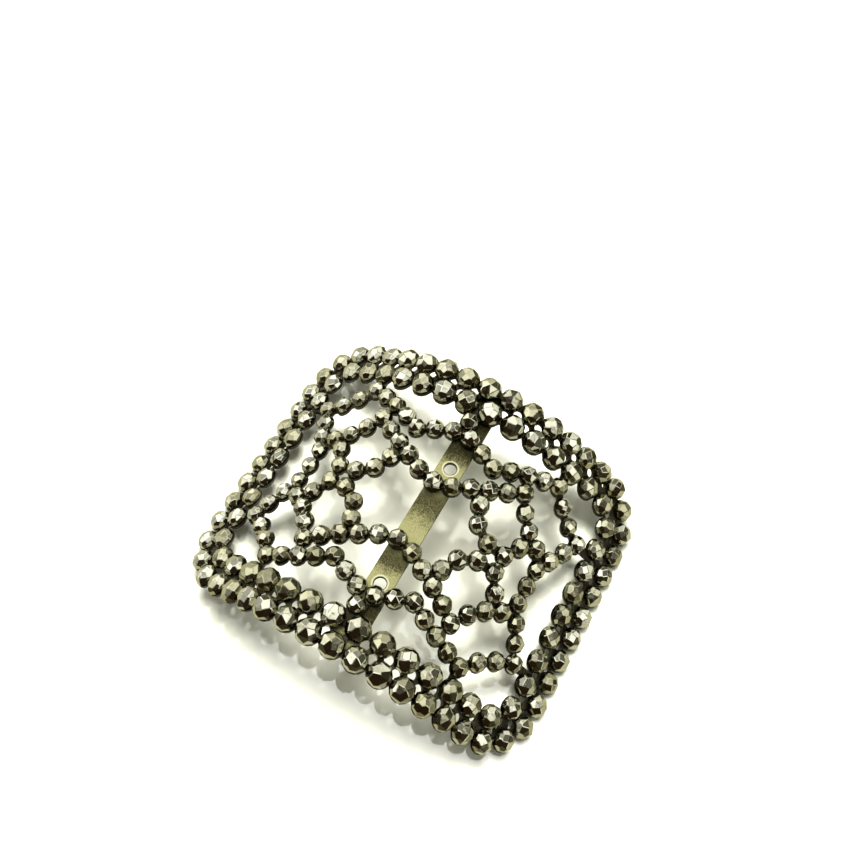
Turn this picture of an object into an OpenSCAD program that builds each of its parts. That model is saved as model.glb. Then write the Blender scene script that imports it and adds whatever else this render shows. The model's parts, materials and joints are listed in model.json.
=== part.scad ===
// Cut-steel shoe buckle: a bent, pierced back plate that carries two rows of
// faceted studs round its rim, an openwork pattern of smaller studs inside
// them, and a flat brass bar with two sewing holes across its hollow side.
// Lengths are millimetres. X runs across the buckle, Y along the bar, Z up.
// The buckle stands on the two side edges of its plate at z = 0.

/* [Rim] */
// Distance between the stud centres of the outer row at the two sides, measured over the bend
outer_row_w = 54; // [48:0.5:64]
// Distance between the stud centres of the outer row at the two bar ends
outer_row_h = 38; // [34:0.5:46]
// Corner radius of the outer row
outer_corner_r = 7; // [5:0.5:9]
// Distance from the outer row to the inner row
row_spacing = 3; // [2.9:0.05:3.6]

/* [Bend] */
// Radius of the crown, measured to the plate's outer face
crown_r = 24.3; // [20:0.1:32]
// Slope of the straight flanks beside the crown, in degrees
flank_slope = 35.5; // [24:0.5:42]

/* [Plate] */
// Thickness of the back plate
plate_t = 0.6; // [0.4:0.05:1]
// Width of the plate's rim under each stud, outside the stud
pad_margin = 0.12; // [0.06:0.01:0.3]
// Width of the metal between neighbouring pads
bridge_w = 1.1; // [0.8:0.05:1.6]
// Radius that softens the inner corners of the piercing
pierce_fillet = 0.2; // [0.1:0.05:0.4]
// Diameter of the small piercings between the two rows
rim_piercing_d = 0.7; // [0.4:0.05:0.9]
// Distance of the small piercings from the outer row
rim_piercing_inset = 1; // [0.8:0.05:1.3]

/* [Studs] */
// Diameter of a rim stud beside the bar
rim_stud_d = 3; // [2.5:0.05:3]
// Diameter of a rim stud at the sides of the buckle
side_stud_d = 2.65; // [2.3:0.05:3]
// Diameter of a stud of the openwork
lattice_stud_d = 2.25; // [1.8:0.05:2.3]
// Least clear distance between two studs
stud_gap = 0.1; // [0.1:0.01:0.3]
// Height of a stud for each millimetre of its diameter
stud_rise = 0.56; // [0.4:0.02:0.7]
// Clear distance between a stud and the plate
seat_gap = 0.05; // [0.02:0.01:0.1]
// Diameter of the shank that is riveted through the plate
shank_d = 0.9; // [0.7:0.05:1.1]
// Clear distance round a shank in its hole
shank_gap = 0.05; // [0.02:0.01:0.1]

/* [Bar] */
// Width of the bar
bar_w = 3.4; // [2.8:0.1:5]
// Thickness of the bar
bar_t = 0.6; // [0.4:0.05:1.2]
// Length that the bar reaches past the outer row's centre line at each end
bar_reach = 0.6; // [0.2:0.1:1]
// Distance of the bar from the middle of the buckle
bar_shift = 0.9; // [0:0.1:2]
// Clear distance between the bar and the plate
bar_gap = 0.05; // [0.02:0.01:0.1]
// Diameter of a sewing hole
sew_hole_d = 1.6; // [1:0.1:2.2]
// Distance between the two sewing holes
sew_hole_spacing = 17; // [12:0.5:24]
// Distance of the pair of sewing holes from the middle of the bar
sew_hole_shift = -1.4; // [-3:0.1:3]

/* [Hidden] */

half_w = outer_row_w / 2;
half_h = outer_row_h / 2;
// Length of the crown's arc on one side of the middle
crown_half = crown_r * flank_slope * PI / 180;
pad_sides = 16;
// Small folds that round the crown on one side of the middle
crown_folds = 12;
facets = 8;
// Straight steps that draw a quarter of a row's outline
outline_steps = 20;
// Least distance between neighbours along a row, because its corners bring them a little closer
row_pitch = rim_stud_d + 1.5 * stud_gap;
// Turn of one stud against the next, so that their facets don't line up
stud_turn = 19;
steel = [0.50, 0.49, 0.41];
dark_steel = [0.33, 0.32, 0.26];
brass = [0.60, 0.54, 0.31];

// Chosen points of the openwork in one quarter of the buckle, as shares of half_w and half_h
ROUTE = [
    // name, share across, share along
    ["side", 0.641, 0],
    ["hip", 0.645, 0.130],
    ["side_tip", 0.778, 0.463],
    ["corner_tip", 0.533, 0.695],
    ["dip", 0.207, 0.516],
    ["crest", 0.045, 0.611],
    ["link", 0, 0.718],
    ["waist", 0, 0.226],
    ["fork", 0.165, 0.316],
    ["star_top", 0.396, 0.500],
    ["star_side", 0.590, 0.243],
    ["star_notch", 0.459, 0.063],
    ["eye_knee", 0.278, 0.137],
    ["eye_end", 0.359, 0.066],
];

// Strings of the scalloped loop: from, to, bow away from the middle as a share of half_w
SCALLOP = [
    ["side", "hip", 0],
    ["hip", "side_tip", 0],
    ["side_tip", "corner_tip", -0.018],
    ["corner_tip", "dip", 0.009],
    ["dip", "crest", 0],
    ["link", "link", 0],
];

// Strings of the star and its two eyes, in the same columns
STAR = [
    ["waist", "fork", -0.011],
    ["fork", "star_top", -0.004],
    ["star_top", "star_side", -0.024],
    ["star_side", "star_notch", -0.022],
    ["fork", "eye_knee", 0.024],
    ["eye_knee", "eye_end", 0],
];

// Ties of plate metal where two strings pass close to each other, as chosen points
TIES = [
    ["link", "crest"],
    ["star_notch", "eye_end"],
];

function turned_back(list) = [for (i = [len(list) - 1 : -1 : 0]) list[i]];
function at(name) = let (row = ROUTE[search([name], ROUTE)[0]]) [row[1] * half_w, row[2] * half_h];

// Profile of a stud's cut, from its table down to its foot
CUT = [
    // name, share of the girdle's half width, share of the rise
    ["table", 0.42, 1],
    ["crown", 0.84, 0.62],
    ["girdle", 1, 0.22],
    ["foot", 0.92, 0],
];

// Bend: u is the distance from the middle measured over the plate's outer face
function tilt(u) = sign(u) * min(abs(u), crown_half) / crown_r * 180 / PI;
function flank(u) = max(abs(u) - crown_half, 0);
function across(u) = crown_r * sin(tilt(u)) + sign(u) * flank(u) * cos(flank_slope);
function fall(u) = crown_r * (1 - cos(tilt(u))) + flank(u) * sin(flank_slope);
function bent(points) = [for (p = points) [across(p[0]), p[1]]];

// Places where the bent sheet is folded a little, and its two far ends, which the pattern cuts off
bend_stations = concat([-outer_row_w], [for (i = [-crown_folds : crown_folds]) i / crown_folds * crown_half],
    [outer_row_w]);

// Outermost reach of the plate from the middle, and the height of its crown above the ground
plate_reach = half_w + side_stud_d / 2 + pad_margin;
crown_z = fall(plate_reach) + plate_t / cos(flank_slope);

// Diameter of a rim stud at the distance u from the middle
function rim_d(u) = rim_stud_d + (side_stud_d - rim_stud_d) * pow(u / half_w, 2);

// Rows of the rim: one quarter of a rounded rectangle, from its top to its side
function quarter_len(w, h, r) = w - r + PI * r / 2 + h - r;
function quarter_at(s, w, h, r) =
    s < w - r ? [s, h]
    : s < w - r + PI * r / 2 ? let (a = (s - w + r) / r * 180 / PI) [w - r + r * sin(a), h - r + r * cos(a)]
    : [w, quarter_len(w, h, r) - s];
// Steps from one stud to the next in a quarter, always a half more than a whole number
function row_steps(w, h, r) = floor(quarter_len(w, h, r) / row_pitch - 0.5) + 0.5;
// One quarter of a row, drawn inset from its own line, with the first place start steps past the bar's end
function row_quarter(w, h, r, start, inset = 0) =
    let (n = row_steps(w, h, r))
    [for (s = [start : n + 0.01])
        let (p = quarter_at(s * quarter_len(w, h, r) / n, w, h, r), q = inset == 0 ? p : inward(p, w, h, r, inset))
        [q[0], q[1], rim_d(q[0])]];
// A point of a row moved towards the middle, square to the row
function inward(p, w, h, r, inset) =
    let (centre = [min(p[0], w - r), min(p[1], h - r)]) centre + (p - centre) * (r - inset) / r;

// Studs of one string between two chosen points, along a shallow parabola
function string_studs(row) =
    let (a = at(row[0]), b = at(row[1]), len = norm(b - a), bow = row[2] * half_w)
    len == 0 ? [[a[0], a[1], lattice_stud_d]]
    : let (
        side = [a[1] - b[1], b[0] - a[0]] / len,
        out = side * (a + b) < 0 ? -side : side,
        run = len + 8 / 3 * bow * bow / len,
        n = max(1, floor(run / (lattice_stud_d + stud_gap))))
    [for (i = [0 : n]) let (t = i / n, p = a + (b - a) * t + out * bow * 4 * t * (1 - t)) [p[0], p[1], lattice_stud_d]];
function strings(table) = [for (row = table) each string_studs(row)];

// A quarter's studs mirrored into all four, each kept only where it is clear of those before it
function mirrored(studs) = [for (sx = [1, -1], sy = [1, -1], p = studs) [sx * p[0], sy * p[1], p[2]]];
function is_clear(p, others) =
    len([for (q = others) if (norm([p[0] - q[0], p[1] - q[1]]) < (p[2] + q[2]) / 2 + stud_gap) 1]) == 0;
function placed(studs, others, i = 0, kept = []) =
    i == len(studs) ? kept
    : placed(studs, others, i + 1, is_clear(studs[i], concat(kept, others)) ? concat(kept, [studs[i]]) : kept);

inner_w = half_w - row_spacing;
inner_h = half_h - row_spacing;
inner_corner_r = outer_corner_r - row_spacing;
outer_row = placed(mirrored(row_quarter(half_w, half_h, outer_corner_r, 0)), []);
inner_row = placed(mirrored(row_quarter(inner_w, inner_h, inner_corner_r, 0.5)), outer_row);
scallop = placed(mirrored(strings(SCALLOP)), inner_row);
star = placed(mirrored(strings(STAR)), concat(inner_row, scallop));
rim_piercings = mirrored(row_quarter(half_w, half_h, outer_corner_r, 0.5, rim_piercing_inset));
all_studs = concat(outer_row, inner_row, scallop, star);

// Places its children on the plate's outer face, upright to it
module on_face(u, v) translate([across(u), v, crown_z - fall(u)]) rotate([0, tilt(u), 0]) children();

// Cut dome with a flat table, two rings of facets and a girdle, and the shank below it
module stud(d) {
    rise = stud_rise * d;
    // From a facet's middle to the stud's axis, where the girdle's corners lie on the diameter
    flat = d / 2 * cos(180 / facets);
    slice = [for (row = CUT) [row[1] * flat, row[2] * rise]];
    translate([0, 0, seat_gap])
        intersection_for (i = [0 : facets / 2 - 1])
            rotate([90, 0, 360 / facets * i])
                linear_extrude(2 * d, center = true)
                    polygon(concat(slice, [for (p = turned_back(slice)) [-p[0], p[1]]]));
    translate([0, 0, -plate_t])
        cylinder(d = shank_d, h = plate_t + seat_gap + rise / 4, $fn = 32);
}

module studs(list) {
    for (i = [0 : len(list) - 1])
        on_face(list[i][0], list[i][1])
            rotate([0, 0, i * stud_turn])
                stud(list[i][2]);
}

// Flat pattern of the plate, already shortened across by the bend
module pad(p) {
    r = p[2] / 2 + pad_margin;
    polygon(bent([for (i = [0 : pad_sides - 1]) let (a = 360 / pad_sides * i) [p[0] + r * cos(a), p[1] + r * sin(a)]]));
}

module bridge(a, b) {
    side = [a[1] - b[1], b[0] - a[0]] / norm(b - a) * bridge_w / 2;
    for (sx = [1, -1], sy = [1, -1])
        polygon(bent([for (p = [a + side, b + side, b - side, a - side]) [sx * p[0], sy * p[1]]]));
}

module string_bridges(table) {
    for (row = table) {
        run = string_studs(row);
        if (len(run) > 1)
            for (i = [1 : len(run) - 1])
                bridge([run[i - 1][0], run[i - 1][1]], [run[i][0], run[i][1]]);
    }
}

module row_outline(w, h, r) {
    quarter = [for (i = [0 : outline_steps])
        quarter_at(i / outline_steps * quarter_len(w, h, r), w, h, r)];
    back = turned_back(quarter);
    polygon(bent(concat(
        quarter,
        [for (p = back) [p[0], -p[1]]],
        [for (p = quarter) [-p[0], -p[1]]],
        [for (p = back) [-p[0], p[1]]])));
}

module plate_pattern() {
    offset(delta = -pierce_fillet)
        offset(delta = pierce_fillet) {
            difference() {
                row_outline(half_w, half_h, outer_corner_r);
                row_outline(inner_w, inner_h, inner_corner_r);
            }
            for (p = all_studs)
                pad(p);
            string_bridges(SCALLOP);
            string_bridges(STAR);
            for (tie = TIES)
                bridge(at(tie[0]), at(tie[1]));
            // From the tips of the scallops and the links out to the rim
            bridge(at("side_tip"), [inner_w, at("side_tip")[1]]);
            bridge(at("corner_tip"), [at("corner_tip")[0], inner_h]);
            bridge(at("link"), [0, inner_h]);
            // From the tips of the star out to the scallops
            bridge(at("star_top"), (at("corner_tip") + at("dip")) / 2);
            bridge(at("star_side"), at("hip"));
        }
}

// Line of the bend at a depth below the plate's outer face, seen along the bar
function bend_line(depth) =
    [for (u = bend_stations) [across(u) - depth * sin(tilt(u)), crown_z - fall(u) - depth * cos(tilt(u))]];

module bent_sheet() {
    rotate([90, 0, 0])
        linear_extrude(outer_row_h + 4 * rim_stud_d, center = true)
            polygon(concat(bend_line(0), turned_back(bend_line(plate_t))));
}

module drill(d) translate([0, 0, -2 * plate_t]) cylinder(d = d, h = 3 * plate_t, $fn = 32);

module back_plate() {
    color(dark_steel)
        intersection() {
            difference() {
                bent_sheet();
                for (p = all_studs)
                    on_face(p[0], p[1])
                        drill(shank_d + 2 * shank_gap);
                for (p = rim_piercings)
                    on_face(p[0], p[1])
                        drill(rim_piercing_d);
            }
            translate([0, 0, -plate_t])
                linear_extrude(crown_z + 2 * plate_t)
                    plate_pattern();
        }
}

module outer_row_studs() color(steel) studs(outer_row);
module inner_row_studs() color(steel) studs(inner_row);
module scallop_studs() color(steel) studs(scallop);
module star_studs() color(steel) studs(star);

// Flat strip under the crown, clear of the plate's curved underside
module bar() {
    under_r = crown_r - plate_t;
    edge = bar_shift + bar_w / 2;
    top_z = crown_z - crown_r + sqrt(under_r * under_r - edge * edge) - bar_gap;
    length = outer_row_h + 2 * bar_reach;
    color(brass)
        translate([bar_shift, 0, top_z - bar_t])
            difference() {
                translate([-bar_w / 2, -length / 2, 0])
                    cube([bar_w, length, bar_t]);
                for (end = [-1, 1])
                    translate([0, sew_hole_shift + end * sew_hole_spacing / 2, -bar_t])
                        cylinder(d = sew_hole_d, h = 3 * bar_t, $fn = 48);
            }
}

back_plate();
outer_row_studs();
inner_row_studs();
scallop_studs();
star_studs();
bar();
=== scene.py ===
import itertools
import json
import math

import bmesh
import bpy
import numpy as np
from mathutils import Matrix, Vector


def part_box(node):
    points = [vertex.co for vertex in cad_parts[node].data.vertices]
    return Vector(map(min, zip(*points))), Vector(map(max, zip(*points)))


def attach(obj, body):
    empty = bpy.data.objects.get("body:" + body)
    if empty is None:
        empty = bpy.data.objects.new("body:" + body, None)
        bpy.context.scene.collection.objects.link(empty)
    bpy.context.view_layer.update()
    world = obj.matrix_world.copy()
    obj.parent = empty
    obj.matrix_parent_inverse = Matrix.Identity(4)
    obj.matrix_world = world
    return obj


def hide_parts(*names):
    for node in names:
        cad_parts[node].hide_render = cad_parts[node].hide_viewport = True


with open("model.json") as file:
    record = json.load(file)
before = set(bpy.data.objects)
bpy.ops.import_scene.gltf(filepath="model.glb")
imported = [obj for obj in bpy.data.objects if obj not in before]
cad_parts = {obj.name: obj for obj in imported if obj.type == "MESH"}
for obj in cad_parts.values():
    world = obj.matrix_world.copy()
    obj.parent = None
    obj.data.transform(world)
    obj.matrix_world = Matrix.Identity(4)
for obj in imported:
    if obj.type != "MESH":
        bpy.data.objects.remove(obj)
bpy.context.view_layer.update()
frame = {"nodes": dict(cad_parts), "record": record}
mm = 0.001
print("frame loaded:", ", ".join(sorted(frame["nodes"])))


# Shader maths

class Signal:
    # One output of a node. Arithmetic on it adds Math nodes.
    def __init__(self, bench, socket):
        self.bench = bench
        self.socket = socket

    def joined(self, operation, first, second):
        return self.bench.add("ShaderNodeMath", {"operation": operation}, {0: first, 1: second})

    def __add__(self, other):
        return self.joined("ADD", self, other)

    def __radd__(self, other):
        return self.joined("ADD", other, self)

    def __sub__(self, other):
        return self.joined("SUBTRACT", self, other)

    def __rsub__(self, other):
        return self.joined("SUBTRACT", other, self)

    def __mul__(self, other):
        return self.joined("MULTIPLY", self, other)

    def __rmul__(self, other):
        return self.joined("MULTIPLY", other, self)


class Bench:
    # A node tree and the one way in which nodes are put into it.
    def __init__(self, tree):
        self.tree = tree

    def feed(self, node, inputs):
        # Each of the named sockets gets a link or a fixed value
        for key, value in inputs.items():
            if isinstance(value, Signal):
                self.tree.links.new(value.socket, node.inputs[key])
            else:
                node.inputs[key].default_value = value

    def add(self, kind, settings, inputs, output=0):
        node = self.tree.nodes.new(kind)
        for key, value in settings.items():
            setattr(node, key, value)
        self.feed(node, inputs)
        return Signal(self, node.outputs[output])

    def place(self, kind="Object"):
        return self.add("ShaderNodeTexCoord", {}, {}, kind)

    def ray(self, kind):
        # 1 for a ray of that kind, otherwise 0
        return self.add("ShaderNodeLightPath", {}, {}, kind)

    def vector(self, operation, *inputs, output="Vector"):
        return self.add("ShaderNodeVectorMath", {"operation": operation}, dict(enumerate(inputs)), output)

    def distance(self, place, point, squash):
        # Distance in millimetres of a place from a point, both squashed along the axes
        there = tuple(p * s * mm for p, s in zip(point, squash))
        squashed = self.vector("MULTIPLY", place, squash)
        return self.vector("DISTANCE", squashed, there, output="Value") * (1 / mm)

    def noise(self, place, perMillimetre, detail, roughness):
        return self.add("ShaderNodeTexNoise", {}, {
            "Vector": place, "Scale": perMillimetre / mm, "Detail": detail, "Roughness": roughness})

    def step(self, value, start, end, low=0.0, high=1.0):
        # Low up to start, high from end on, and a smooth change between them
        return self.add("ShaderNodeMapRange", {"interpolation_type": "SMOOTHSTEP"}, {
            "Value": value, "From Min": start, "From Max": end, "To Min": low, "To Max": high})

    def marks(self, place, mark):
        # A noise cut to marks, which grow from none to full over a range of its values
        return self.step(self.noise(place, *mark["noise"]), *mark["range"])

    def cone(self, towards, direction, wide, narrow):
        # 0 outside the wide half angle round a direction, 1 inside the narrow one, both in degrees
        aim = tuple(Vector(direction).normalized())
        cosine = self.vector("DOT_PRODUCT", towards, aim, output="Value")
        return self.step(cosine, math.cos(math.radians(wide)), math.cos(math.radians(narrow)))

    def mixed(self, share, *colours):
        # A colour between two, each of which is a link or red, green and blue. The Mix node's share is at
        # socket 0, its colours are at 6 and 7, and it gives the mixed colour at 2.
        first, second = [c if isinstance(c, Signal) else (*c, 1.0) for c in colours]
        return self.add("ShaderNodeMix", {"data_type": "RGBA"}, {0: share, 6: first, 7: second}, 2)

    def bump(self, height, strength, depthMillimetres):
        return self.add("ShaderNodeBump", {}, {
            "Height": height, "Strength": strength, "Distance": depthMillimetres * mm})


def newFinish(name, fixed):
    material = bpy.data.materials.new(name)
    material.use_nodes = True
    shader = material.node_tree.nodes["Principled BSDF"]
    bench = Bench(material.node_tree)
    bench.feed(shader, fixed)
    return material, shader, bench


# Objects and meshes

def addObject(name, data):
    made = bpy.data.objects.new(name, data)
    bpy.context.scene.collection.objects.link(made)
    return made


def newMesh(name, points, faces):
    mesh = bpy.data.meshes.new(name)
    mesh.from_pydata((np.array(points) * mm).tolist(), [], faces)
    return mesh


def mergedCopy(name, node, flatWithin=0, mergedWithin=0.0005):
    # A copy of a node's mesh, whose loose triangles are joined where their corners meet within so many
    # millimetres, and are one face where they lie flat within so many degrees
    solid = bmesh.new()
    solid.from_mesh(frame["nodes"][node].data)
    bmesh.ops.remove_doubles(solid, verts=solid.verts[:], dist=mergedWithin * mm)
    if flatWithin:
        bend = math.radians(flatWithin)
        bmesh.ops.dissolve_limit(solid, angle_limit=bend, verts=solid.verts[:], edges=solid.edges[:])
    mesh = bpy.data.meshes.new(name)
    solid.to_mesh(mesh)
    solid.free()
    return mesh


# Camera, at the photograph's angle

cameraView = {
    "place": (18.25, -31.63, 117.16),  # millimetres
    "forward": (-0.1948, 0.3649, -0.9104),  # direction of view
    "right": (0.8654, 0.5008, 0.0155),  # direction of the picture's rows
    "focalPixels": 898.4,
    "photoWidth": 857,  # pixels
    "sensorWidth": 36,  # millimetres
    "clip": (0.001, 20),  # metres
}


def makeCamera():
    look = cameraView
    data = bpy.data.cameras.new("camera")
    data.sensor_fit = "HORIZONTAL"
    data.sensor_width = look["sensorWidth"]
    data.lens = look["focalPixels"] * data.sensor_width / look["photoWidth"]
    data.clip_start, data.clip_end = look["clip"]
    camera = addObject("camera", data)
    forward = Vector(look["forward"]).normalized()
    up = Vector(look["right"]).cross(forward).normalized()
    right = forward.cross(up)
    turn = Matrix((right, up, -forward)).transposed()
    camera.matrix_world = Matrix.Translation(Vector(look["place"]) * mm) @ turn.to_4x4()
    bpy.context.scene.camera = camera


makeCamera()
print("camera placed")


# Studs

studLook = {
    # Ways of cutting a dome, each in rings of facets: how many, slope of their normals from the stud's axis
    # and turn about it in degrees, distance from the dome's centre in stud radii
    "cuts": [
        [(4, 25, 0, 1.0), (7, 50, 20, 0.995), (10, 75, 0, 0.985)],
        [(5, 27, 0, 1.0), (6, 52, 36, 0.995), (9, 76, 0, 0.985)],
        [(4, 23, 0, 0.99), (8, 49, 22.5, 1.0), (11, 75, 0, 0.985)],
    ],
    "domes": 9,  # variants, cut in these ways by turns
    "slopeSpread": 3.6,  # degrees by which single facets differ
    "depthSpread": 0.008,  # this and the next three in stud radii
    "domeCentre": 0.02,  # above the plate
    "domeFoot": 0.15,  # above the plate
    "edgeWear": 0.035,  # how far the flat along an edge reaches in from it
    "fullness": 1.065,  # of a dome, as a share of its stud's radius in the frame
    "fullnessSpread": 0.02,
    # Height of a rim dome on the flanks towards -X and +X, as a share of its height on the crown
    "flankHeights": (0.76, 0.92),
    "lean": 2.5,  # degrees
    "turnStep": 137.5,  # degrees from one stud to the next
    # Profile of the collar below the dome, in stud radii out from the axis and up from the plate
    "collar": [(0.0, 0.17), (0.90, 0.17), (0.945, 0.13), (0.945, 0.03), (0.92, 0.0), (0.0, 0.0)],
    "collarSides": 28,
    # Profile of the riveted end on the hollow side, in millimetres
    "rivet": [
        (0.0, 0.10), (0.45, 0.10), (0.45, -0.60), (0.66, -0.605), (0.62, -0.70), (0.40, -0.77), (0.0, -0.79)],
    # The same over the bar, where it ends flush with the plate
    "flushRivet": [(0.0, 0.10), (0.45, 0.10), (0.45, -0.56), (0.42, -0.60), (0.0, -0.60)],
    "rivetSides": 16,
    "barMargin": 0.8,  # millimetres beside the bar in which rivets are flush too
}

bendShape = {"crownRadius": 24.3, "flankSlope": 35.5}  # millimetres and degrees, of the plate's outer face


def lathe(profile, sides):
    # A profile turned about the axis, on which its two ends lie: point (i, j) is radius i times the cosine
    # and sine of angle j, at height i.
    profile = np.array(profile, float)
    angle = np.arange(sides) * 2 * math.pi / sides
    radius, height = profile[1:-1, :1], profile[1:-1, 1:]
    ring = np.stack([radius * np.cos(angle), radius * np.sin(angle), np.repeat(height, sides, 1)], -1)
    points = np.concatenate([ring.reshape(-1, 3), [[0, 0, profile[0, 1]], [0, 0, profile[-1, 1]]]])
    here = np.arange(sides)
    after = (here + 1) % sides
    last = (len(radius) - 1) * sides
    rows = np.arange(0, last, sides)[:, None]
    walls = np.stack([rows + here, rows + sides + here, rows + sides + after, rows + after], -1)
    top = np.stack([here, after, np.full(sides, len(points) - 2)], -1)
    foot = np.stack([last + after, last + here, np.full(sides, len(points) - 1)], -1)
    return points, [*walls.reshape(-1, 4).tolist(), *top.tolist(), *foot.tolist()]


def cutDome(cut, seed):
    # A convex solid bounded by planes. Any three planes meet in one point, and the points that no
    # further plane cuts off are its corners. A facet is the corners on one plane, in order of angle.
    clearly, cutOff, touching, digits = 1e-3, 1e-7, 1e-5, 6  # how exactly planes and points are compared
    askew = [0.3, 0.9, 0.1]  # along no facet's normal
    rng = np.random.default_rng(seed)
    counts, slopes, turns, depths = zip(*cut)
    facets = sum(counts)
    around = np.repeat(turns, counts) + np.concatenate([np.arange(count) * 360 / count for count in counts])
    slope = np.radians(np.repeat(slopes, counts) + rng.normal(0, studLook["slopeSpread"], facets))
    around = np.radians(around + rng.normal(0, studLook["slopeSpread"], facets))
    depth = np.repeat(depths, counts) + rng.normal(0, studLook["depthSpread"], facets)
    normals = np.stack([np.sin(slope) * np.cos(around), np.sin(slope) * np.sin(around), np.cos(slope)], -1)
    normals = np.concatenate([normals, [[0, 0, -1]]])
    depth = np.append(depth, studLook["domeCentre"] - studLook["domeFoot"])
    triples = np.array(list(itertools.combinations(range(len(normals)), 3)))
    triples = triples[abs(np.linalg.det(normals[triples])) > clearly]
    points = np.linalg.solve(normals[triples], depth[triples][..., None])[..., 0]
    points = points[(points @ normals.T <= depth + cutOff).all(1)]
    points = np.unique(np.round(points, digits), axis=0)
    faces = []
    for normal, distance in zip(normals, depth):
        on = np.flatnonzero(abs(points @ normal - distance) < touching)
        side = np.cross(normal, askew)
        middle = points[on] - points[on].mean(0)
        faces.append(on[np.argsort(np.arctan2(middle @ np.cross(normal, side), middle @ side))].tolist())
    return points + [0, 0, studLook["domeCentre"]], faces


def worn(points, faces):
    # The same solid with a narrow flat along each edge.
    mesh = bmesh.new()
    corners = [mesh.verts.new(p) for p in points]
    for face in faces:
        mesh.faces.new([corners[i] for i in face])
    bmesh.ops.bevel(mesh, geom=mesh.edges[:], offset=studLook["edgeWear"], segments=1, affect="EDGES")
    mesh.verts.index_update()
    result = np.array([v.co for v in mesh.verts]), [[v.index for v in f.verts] for f in mesh.faces]
    mesh.free()
    return result


def looseSolids(mesh, digits=4):
    # The corners of a mesh in millimetres, and for each the number of the loose solid that it belongs to.
    # Corners that agree to so many digits are one. Each corner takes the lowest label among its triangles,
    # until nothing changes.
    mesh.calc_loop_triangles()
    points = np.empty(len(mesh.vertices) * 3, np.float32)
    mesh.vertices.foreach_get("co", points)
    corners = np.empty(len(mesh.loop_triangles) * 3, np.int32)
    mesh.loop_triangles.foreach_get("vertices", corners)
    points, spot = np.unique(np.round(points.reshape(-1, 3) / mm, digits), axis=0, return_inverse=True)
    corners = spot.reshape(-1)[corners].reshape(-1, 3)
    label = np.arange(len(points))
    settled = False
    while not settled:
        lower = label.copy()
        np.minimum.at(lower, corners.ravel(), np.repeat(label[corners].min(1), 3))
        lower = lower[lower]
        settled = (lower == label).all()
        label = lower
    return points, np.unique(label, return_inverse=True)[1].reshape(-1)


def studPlaces(node):
    # Where the studs of a node stand on the bend, its slope there, and their radii. A seat is the middle of a
    # stud's corners, moved square to the bend on to its outer face. The radius is the largest distance of a
    # corner from the axis through the seat.
    points, group = looseSolids(frame["nodes"][node].data)
    count = np.bincount(group)
    middle = np.stack([np.bincount(group, points[:, k]) / count for k in range(3)], -1)
    centre = np.array([0, 0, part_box("back_plate")[1].z / mm - bendShape["crownRadius"]])
    limit = math.radians(bendShape["flankSlope"])
    slope = np.clip(np.arctan2(middle[:, 0], middle[:, 2] - centre[2]), -limit, limit)
    normal = np.stack([np.sin(slope), 0 * slope, np.cos(slope)], -1)
    height = ((middle - centre) * normal).sum(1) - bendShape["crownRadius"]
    seat = middle - normal * height[:, None]
    out = points - seat[group]
    out -= normal[group] * (out * normal[group]).sum(1)[:, None]
    radius = np.zeros(len(seat))
    np.maximum.at(radius, group, np.linalg.norm(out, axis=1))
    return seat, slope, radius


def laid(points, seat, slope, turn, lean, scale):
    # Copies of a shape: each is scaled by one number or three, turned about its own axis, leaned a little and
    # set square on the bend.
    cosTurn, sinTurn = np.cos(turn)[:, None], np.sin(turn)[:, None]
    shape = points[None] * scale.reshape(len(scale), 1, -1)
    x = shape[..., 0] * cosTurn - shape[..., 1] * sinTurn
    y = shape[..., 0] * sinTurn + shape[..., 1] * cosTurn
    z = shape[..., 2] - x * lean[:, :1] - y * lean[:, 1:]
    x, y = x + shape[..., 2] * lean[:, :1], y + shape[..., 2] * lean[:, 1:]
    cosSlope, sinSlope = np.cos(slope)[:, None], np.sin(slope)[:, None]
    placed = np.stack([x * cosSlope + z * sinSlope, y, z * cosSlope - x * sinSlope], -1) + seat[:, None]
    return placed.reshape(-1, 3)


def repeatedFaces(faces, corners, copies, start=0):
    # The faces of copies whose corners follow each other, from the corner with the number start on
    firsts = range(start, start + copies * corners, corners)
    return [[first + i for i in face] for first in firsts for face in faces]


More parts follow.
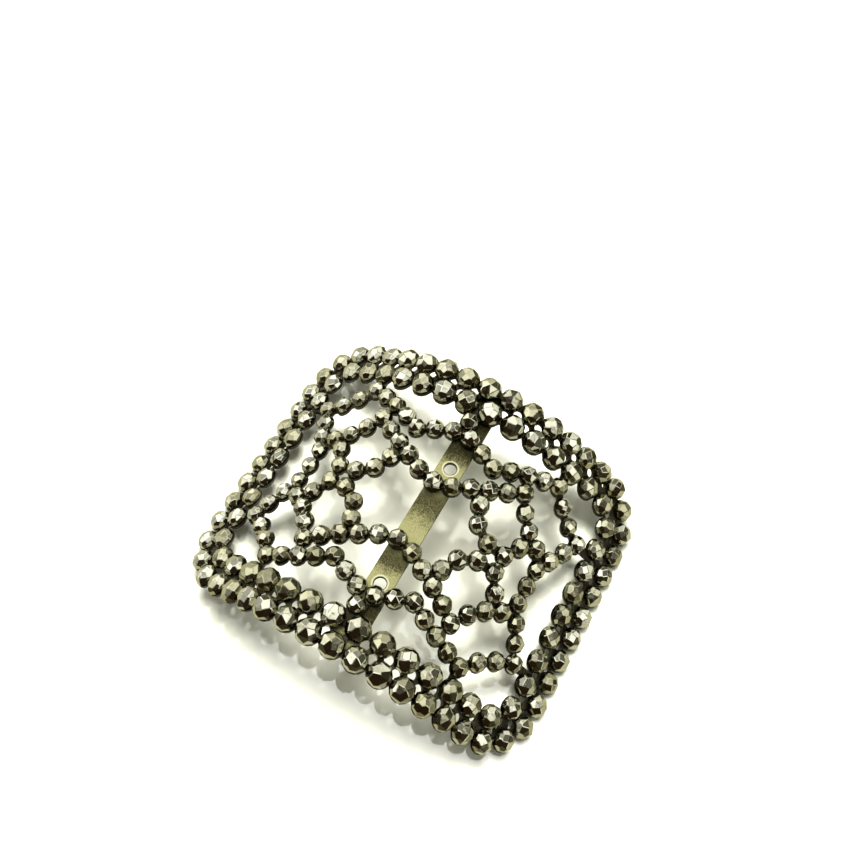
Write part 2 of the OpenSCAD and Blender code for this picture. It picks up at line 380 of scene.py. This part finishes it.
def layStuds(name, node, seed, flankHeights=(1.0, 1.0)):
    # A cut dome, a collar and a riveted end for every stud of a node. The domes are flat-faced and have the
    # first finish, the turned parts are smooth and have the second.
    rng = np.random.default_rng(seed)
    seat, slope, radius = studPlaces(node)
    count = len(seat)
    kind = rng.integers(0, len(domes), count)
    turn = np.radians(np.arange(count) * studLook["turnStep"])
    lean = np.radians(rng.normal(0, studLook["lean"], (count, 2)))
    tone = rng.random(count)
    width = radius * rng.normal(studLook["fullness"], studLook["fullnessSpread"], count)
    onFlank = (slope / math.radians(bendShape["flankSlope"])) ** 2
    height = width * (1 + onFlank * (np.where(slope < 0, *flankHeights) - 1))
    barLow, barHigh = (corner.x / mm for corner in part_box("bar"))
    margin = studLook["barMargin"]
    overBar = (seat[:, 0] > barLow - margin) & (seat[:, 0] < barHigh + margin)
    domeSize = np.stack([width, width, height], -1)
    batches = [(*dome, kind == k, domeSize, False) for k, dome in enumerate(domes)]
    batches.append((*lathe(studLook["collar"], studLook["collarSides"]), np.ones(count, bool), radius, True))
    for profile, chosen in (("rivet", ~overBar), ("flushRivet", overBar)):
        batches.append((*lathe(studLook[profile], studLook["rivetSides"]), chosen, np.ones(count), True))
    points, faces, turned, shade, used = [], [], [], [], 0
    for shape, shapeFaces, chosen, scale, isTurned in batches:
        copies = int(chosen.sum())
        if not copies:
            continue
        leaning = lean[chosen] * (not isTurned)
        points.append(laid(shape, seat[chosen], slope[chosen], turn[chosen], leaning, scale[chosen]))
        shade.append(np.repeat(tone[chosen], len(shape)))
        faces += repeatedFaces(shapeFaces, len(shape), copies, used)
        turned += [isTurned] * (copies * len(shapeFaces))
        used += copies * len(shape)
    mesh = newMesh(name, np.concatenate(points), faces)
    mesh.polygons.foreach_set("use_smooth", turned)
    mesh.polygons.foreach_set("material_index", turned)
    mesh.attributes.new("shade", "FLOAT", "POINT").data.foreach_set("value", np.concatenate(shade))
    for finish in (cutSteel, plateSteel):
        mesh.materials.append(finish)
    mesh.update()
    piece = addObject(name, mesh)
    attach(piece, "root")
    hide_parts(node)
    print(name, count, "studs", len(faces), "faces")


# Finishes of the metal. In their looks, a noise is its fineness per millimetre, its detail and its roughness,
# and a range is where its marks grow from none to full. The other values are how much of the colour the marks
# cover, how much they roughen the metal, and how deep they go.

steelLook = {
    "pale": (0.44, 0.44, 0.365),
    "warm": (0.31, 0.30, 0.20),
    "brown": (0.09, 0.055, 0.025),
    "roughness": (0.045, 0.15),  # clean and tarnished
    "tarnish": {"noise": (0.22, 4.0, 0.55), "range": (0.48, 0.80), "ofStud": 0.25},
    "specks": {"noise": (1.7, 4.0, 0.65), "range": (0.61, 0.74), "cover": 0.75, "rough": 0.25, "depth": 0.10},
    "pits": {"noise": (4.5, 2.0, 0.55), "range": (0.66, 0.76), "cover": 0.35, "rough": 0.2, "depth": 0.12},
    "waves": {"noise": (0.75, 2.0, 0.55)},
    "bump": (0.15, 0.12),  # strength, and depth in millimetres
}


def steelFinish():
    look = steelLook
    material, shader, bench = newFinish("cutSteel", {"Metallic": 1.0})
    place = bench.place()
    shade = bench.add("ShaderNodeAttribute", {"attribute_name": "shade"}, {}, "Fac")
    tarnish = bench.noise(place, *look["tarnish"]["noise"]) + look["tarnish"]["ofStud"] * shade
    tarnish = bench.step(tarnish, *look["tarnish"]["range"])
    specks, pits = [bench.marks(place, look[mark]) for mark in ("specks", "pits")]

    def marked(share):
        return look["specks"][share] * specks + look["pits"][share] * pits

    clean, dull = look["roughness"]
    waves = bench.noise(place, *look["waves"]["noise"])
    colour = bench.mixed(tarnish, look["pale"], look["warm"])
    bench.feed(shader, {
        "Base Color": bench.mixed(marked("cover"), colour, look["brown"]),
        "Roughness": clean + (dull - clean) * tarnish + marked("rough"),
        "Normal": bench.bump(waves - marked("depth"), *look["bump"])})
    return material


# The plate's colours are far darker than steel. This is painted shade, so that the plate between the studs,
# and the collars and rivets that share this finish, look shaded.
plateLook = {
    "bright": (0.05, 0.047, 0.028),
    "dark": (0.02, 0.017, 0.009),
    "rusty": (0.10, 0.05, 0.02),
    "metallic": 0.9,
    "roughness": 0.28,
    "patches": {"noise": (0.35, 5.0, 0.6), "range": (0.38, 0.66), "rough": 0.22},
    "rust": {"noise": (0.875, 5.0, 0.7), "range": (0.62, 0.75), "cover": 0.6, "depth": 0.4},
    "grain": {"noise": (3.0, 4.0, 0.7), "rough": 0.15},
    "bump": (0.5, 0.05),  # strength, and depth in millimetres
}


def plateFinish():
    look = plateLook
    material, shader, bench = newFinish("tarnishedPlate", {"Metallic": look["metallic"]})
    place = bench.place()
    patches = bench.marks(place, look["patches"])
    grain = bench.noise(place, *look["grain"]["noise"])
    rust = bench.marks(place, look["rust"])
    colour = bench.mixed(patches, look["bright"], look["dark"])
    bench.feed(shader, {
        "Base Color": bench.mixed(look["rust"]["cover"] * rust, colour, look["rusty"]),
        "Roughness": look["roughness"] + look["patches"]["rough"] * patches + look["grain"]["rough"] * grain,
        "Normal": bench.bump(grain - look["rust"]["depth"] * rust, *look["bump"])})
    return material


cuts = itertools.islice(itertools.cycle(studLook["cuts"]), studLook["domes"])
domes = [worn(*cutDome(cut, seed)) for seed, cut in enumerate(cuts)]
cutSteel = steelFinish()
plateSteel = plateFinish()
layStuds("outerRowStuds", "outer_row_studs", 1, studLook["flankHeights"])
layStuds("innerRowStuds", "inner_row_studs", 2, studLook["flankHeights"])
layStuds("scallopStuds", "scallop_studs", 3)
layStuds("starStuds", "star_studs", 4)


# Back plate: the frame's own solid with wider gaps between the rim's two rows, in a dull, tarnished finish
# that is darkened further as painted shade

plateGaps = {
    "widest": 0.62,  # radius in millimetres
    "narrowest": 0.3,
    "web": 0.3,  # metal left between two gaps
    "underStud": 0.76,  # share of a stud's radius that stays on the metal
    "sides": 16,
    "depth": 2.6,  # in radii of the gap, enough to go through the plate
}


def rimGaps():
    # Each gap lies at the middle of three studs, one of a row and the two nearest of the other row, and is as
    # wide as the studs and the gaps before it leave it.
    look = plateGaps
    rows = [studPlaces(node) for node in ("outer_row_studs", "inner_row_studs")]
    seats = np.concatenate([row[0] for row in rows])
    kept = np.concatenate([row[2] for row in rows]) * look["underStud"]
    centres, slopes, radii = [], [], []
    for (own, ownSlope, _), (other, otherSlope, _) in (rows, rows[::-1]):
        nearest = np.argsort(np.linalg.norm(own[:, None] - other, axis=2), axis=1)[:, :2]
        middles = (own + other[nearest].sum(1)) / 3
        for centre, slope in zip(middles, (ownSlope + otherSlope[nearest].sum(1)) / 3):
            radius = min(look["widest"], (np.linalg.norm(seats - centre, axis=1) - kept).min())
            for before, taken in zip(centres, radii):
                radius = min(radius, np.linalg.norm(before - centre) - taken - look["web"])
            if radius >= look["narrowest"]:
                centres.append(centre)
                slopes.append(slope)
                radii.append(radius)
    return np.array(centres), np.array(slopes), np.array(radii)


def gapCutter(centres, slopes, radii):
    # One object with a short rod for each gap, square to the bend and closed at both ends
    depth = plateGaps["depth"]
    rod, rodFaces = lathe([(0.0, depth), (1.0, depth), (1.0, -depth), (0.0, -depth)], plateGaps["sides"])
    upright = np.zeros((len(radii), 2))
    points = laid(rod, centres, slopes, upright[:, 0], upright, radii)
    return addObject("gapCutter", newMesh("gapCutter", points, repeatedFaces(rodFaces, len(rod), len(radii))))


def makePlate():
    centres, slopes, radii = rimGaps()
    cutter = gapCutter(centres, slopes, radii)
    plate = addObject("piercedPlate", mergedCopy("wholePlate", "back_plate"))
    gaps = plate.modifiers.new("gaps", "BOOLEAN")
    gaps.operation = "DIFFERENCE"
    gaps.solver = "EXACT"
    gaps.object = cutter
    pierced = bpy.data.meshes.new_from_object(plate.evaluated_get(bpy.context.evaluated_depsgraph_get()))
    plate.modifiers.clear()
    plate.data = pierced
    bpy.data.objects.remove(cutter)
    pierced.materials.clear()
    pierced.materials.append(plateSteel)
    pierced.polygons.foreach_set("material_index", [0] * len(pierced.polygons))
    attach(plate, "root")
    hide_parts("back_plate")
    print("plate pierced by", len(radii), "gaps,", len(pierced.polygons), "faces")


makePlate()


# Bar: the frame's strip with its edges eased, in satin brass with painted shade under the strands of studs
# and at the holes' walls, and a painted highlight round the holes

barLook = {
    "bright": (0.345, 0.33, 0.157),
    "dark": (0.022, 0.019, 0.008),
    "rubbed": (0.72, 0.70, 0.50),
    # Stretches of the bar darkened as painted shade of the strands of studs above it, along Y in millimetres:
    # start, start and end of the darkest part, end, and how much of the bright brass is left there
    "dullStretches": [
        (-20.0, -13.4, -12.2, -11.4, 0.12),
        (-9.0, -7.2, -6.4, -4.2, 0.28),
        (-1.8, 1.4, 2.6, 4.4, 0.28),
        (7.0, 9.5, 18.0, 20.0, 0.12),
    ],
    "scatter": 3.2,  # millimetres by which the grain blurs where the painted shade turns to clean brass
    # The rim of a sewing hole, in millimetres from its edge: dark with painted shade of the wall up to the
    # first, rubbed and brightened with a painted highlight from the second to the third, and like the rest of
    # the bar from the fourth on
    "holeRim": (0.01, 0.16, 0.23, 0.35),
    "rubbedShare": 0.6,
    "roughness": (0.42, 0.32),  # dull and clean
    "grain": {"noise": (7.0, 3.0, 0.75), "range": (0.42, 0.72), "cover": 0.4, "rough": 0.14},
    "mottle": {"noise": (0.45, 5.0, 0.6)},
    "stains": {"noise": (1.1, 5.0, 0.7), "range": (0.63, 0.76), "cover": 0.25},
    "rolling": {"noise": (4.0, 3.0, 0.55), "stretch": (1.0, 0.08, 1.0), "depth": 0.5},
    "bump": (0.5, 0.03),  # strength, and depth in millimetres
    "edgeRound": 0.09,  # millimetres
    "edgeSegments": 2,
    "edgeAngle": 40,  # degrees from which an edge is eased
    "flatWithin": 1,  # degrees up to which faces count as one
}


def sewingHoles():
    # Middles and radius of the bar's two holes in millimetres, from the record's mount
    mount = frame["record"]["mounts"][0]
    x, y, z = (c / mm for c in mount["pos_m"])
    half = mount["dims"]["spacing_y_mm"] / 2
    return [(x, y - half, z), (x, y + half, z)], mount["dims"]["hole_r_mm"]


def brassFinish():
    look = barLook
    material, shader, bench = newFinish("satinBrass", {"Metallic": 1.0})
    place = bench.place()
    grain = bench.noise(place, *look["grain"]["noise"])
    mottle = bench.noise(place, *look["mottle"]["noise"])
    along = bench.add("ShaderNodeSeparateXYZ", {}, {"Vector": place}, "Y") * (1 / mm)
    along = along + look["scatter"] * (grain + mottle - 1.0)  # the two noises add up to about 1
    # clean is 1 for bright brass, and lower where painted shade, stains and grain darken it
    clean = 1.0
    # Painted shade: the brass is darkened in stretches under the strands of studs
    for start, full, fullEnd, end, least in look["dullStretches"]:
        dull = bench.step(along, start, full) * bench.step(along, fullEnd, end, 1.0, 0.0)
        clean = clean * (1 - (1 - least) * dull)
    rubbed = 0.0
    middles, radius = sewingHoles()
    wall, inner, outer, end = [radius + r for r in look["holeRim"]]
    # Each hole's wall is darkened with painted shade, and the ring round it is brightened, partly as rubbed
    # brass and partly as a painted highlight
    for middle in middles:
        away = bench.distance(place, middle, (1.0, 1.0, 0.0))
        clear = bench.step(away, wall, inner)
        clean = clean * clear
        rubbed = rubbed + clear * bench.step(away, outer, end, 1.0, 0.0)
    clean = clean - look["stains"]["cover"] * bench.marks(place, look["stains"])
    clean = clean - look["grain"]["cover"] * bench.step(grain, *look["grain"]["range"])
    dullRough, cleanRough = look["roughness"]
    rolling = bench.vector("MULTIPLY", place, look["rolling"]["stretch"])
    height = grain + look["rolling"]["depth"] * bench.noise(rolling, *look["rolling"]["noise"])
    colour = bench.mixed(clean, look["dark"], look["bright"])
    bench.feed(shader, {
        "Base Color": bench.mixed(look["rubbedShare"] * rubbed, colour, look["rubbed"]),
        "Roughness": dullRough - (dullRough - cleanRough) * clean + look["grain"]["rough"] * grain,
        "Normal": bench.bump(height, *look["bump"])})
    return material


def makeBar():
    bar = addObject("brassBar", mergedCopy("brassBar", "bar", barLook["flatWithin"]))
    bar.data.materials.append(brassFinish())
    ease = bar.modifiers.new("easedEdges", "BEVEL")
    ease.width = barLook["edgeRound"] * mm
    ease.segments = barLook["edgeSegments"]
    ease.limit_method = "ANGLE"
    ease.angle_limit = math.radians(barLook["edgeAngle"])
    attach(bar, "root")
    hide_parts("bar")


makeBar()
print("bar made")


# Floor

floorLook = {
    "size": 3000,  # millimetres
    "colour": (0.80, 0.80, 0.655),
    "grain": {"noise": (0.05, 3.0, 0.55), "shade": 0.98},  # share of the colour that is left in the grain
    "shader": {"Roughness": 0.9, "Specular IOR Level": 0.1, "Coat Roughness": 0.0, "Coat IOR": 1.8},
    # How bright the metal mirrors the floor close to the buckle and further off, the middle of the bright
    # place and the range over which it ends, in millimetres, and its squash
    "mirroredNear": (0.44, 0.425, 0.30),
    "mirroredFar": (0.05, 0.045, 0.022),
    "mirroredMiddle": (-20, 8, 0),
    "mirroredRange": (60, 82),
    "mirroredSquash": (1.0, 1.35, 1.0),
}


def makeFloor():
    # The metal mirrors a darker floor than the eye sees, as under a light tent with dark gaps
    look = floorLook
    half = look["size"] / 2
    corners = [(-half, -half, 0), (half, -half, 0), (half, half, 0), (-half, half, 0)]
    floor = addObject("floor", newMesh("floor", corners, [(0, 1, 2, 3)]))
    material, shader, bench = newFinish("paleFloor", look["shader"])
    place = bench.place()
    grain = bench.noise(place, *look["grain"]["noise"])
    seen = bench.mixed(grain, look["colour"], [c * look["grain"]["shade"] for c in look["colour"]])
    away = bench.distance(place, look["mirroredMiddle"], look["mirroredSquash"])
    away = bench.step(away, *look["mirroredRange"])
    mirrored = bench.mixed(away, look["mirroredNear"], look["mirroredFar"])
    inMetal = bench.ray("Is Glossy Ray")
    bench.feed(shader, {
        "Base Color": bench.mixed(inMetal, seen, mirrored),
        "Coat Weight": 1 - inMetal})
    floor.data.materials.append(material)


# Lamps: place and diameter in metres, power in watts

lamps = {
    "softLamp": ((-0.045, 0.155, 0.53), 0.26, 5.6),
    "crispLamp": ((-0.045, 0.155, 0.53), 0.03, 1.0),
}


def makeLamps():
    for name, (place, size, power) in lamps.items():
        data = bpy.data.lights.new(name, "AREA")
        data.shape = "DISK"
        data.size = size
        data.energy = power
        lamp = addObject(name, data)
        lamp.location = place
        lamp.rotation_euler = Vector(place).to_track_quat("Z", "Y").to_euler()
        lamp.visible_glossy = False  # the room alone shows in the metal


# Room, which is what the metal mirrors

roomLook = {
    "sideLow": (0.06, 0.055, 0.026),
    "sideHigh": (1.8, 1.8, 1.6),
    "patches": {"fineness": 3.2, "detail": 0.5, "range": (0.43, 0.57)},  # in the range, dark turns to bright
    # Bright and dark parts of the room: direction, squash, outer and inner half angle in degrees, colour,
    # and the share of that colour that is left where the room is patchy
    "parts": [
        ((0.05, 0.26, 0.96), (0.5, 1.0, 1.0), 42, 24, (2.5, 2.5, 2.37), 0.08),
        ((-0.92, 0.0, 0.32), (1.0, 1.0, 1.0), 60, 36, (3.2, 3.2, 3.05), 0.25),
        ((0.06, -0.97, 0.16), (1.0, 1.0, 1.0), 69, 58, (0.040, 0.023, 0.012), 1.0),
    ],
    "backdrop": (0.96, 0.97, 0.96),
    # What the floor's coat mirrors: direction of the ceiling's bright part, outer and inner half angle in
    # degrees, and brightness off and in it
    "ceiling": ((-0.02, -0.10, 1.0), 19, 12),
    "ceilingShades": (0.8, 4.0),
    "dullShare": 0.5,  # of the room's light that falls on dull surfaces, so that the lamps cast the shadows
}


def makeRoom():
    look = roomLook
    world = bpy.data.worlds.new("room")
    world.use_nodes = True
    bpy.context.scene.world = world
    bench = Bench(world.node_tree)
    towards = bench.place("Generated")
    patches = bench.add("ShaderNodeTexNoise", {}, {
        "Vector": towards, "Scale": look["patches"]["fineness"], "Detail": look["patches"]["detail"]})
    start, end = look["patches"]["range"]
    colour = bench.mixed(bench.step(patches, start, end), look["sideLow"], look["sideHigh"])
    for direction, squash, wide, narrow, tint, least in look["parts"]:
        squashed = bench.vector("NORMALIZE", bench.vector("MULTIPLY", towards, squash))
        near = bench.cone(squashed, direction, wide, narrow)
        colour = bench.mixed(near * bench.step(patches, start, end, least, 1.0), colour, tint)
    colour = bench.mixed(bench.ray("Is Camera Ray"), colour, look["backdrop"])
    low, high = look["ceilingShades"]
    ceiling = bench.mixed(bench.cone(towards, *look["ceiling"]), [low] * 3, [high] * 3)
    inCoat = bench.ray("Is Singular Ray")  # only the floor's coat is a perfect mirror
    bench.feed(world.node_tree.nodes["Background"], {
        "Color": bench.mixed(inCoat, colour, ceiling),
        "Strength": 1 - (1 - look["dullShare"]) * bench.ray("Is Diffuse Ray")})


makeFloor()
makeLamps()
makeRoom()
bpy.context.scene.view_settings.view_transform = "Standard"
print("stage set")
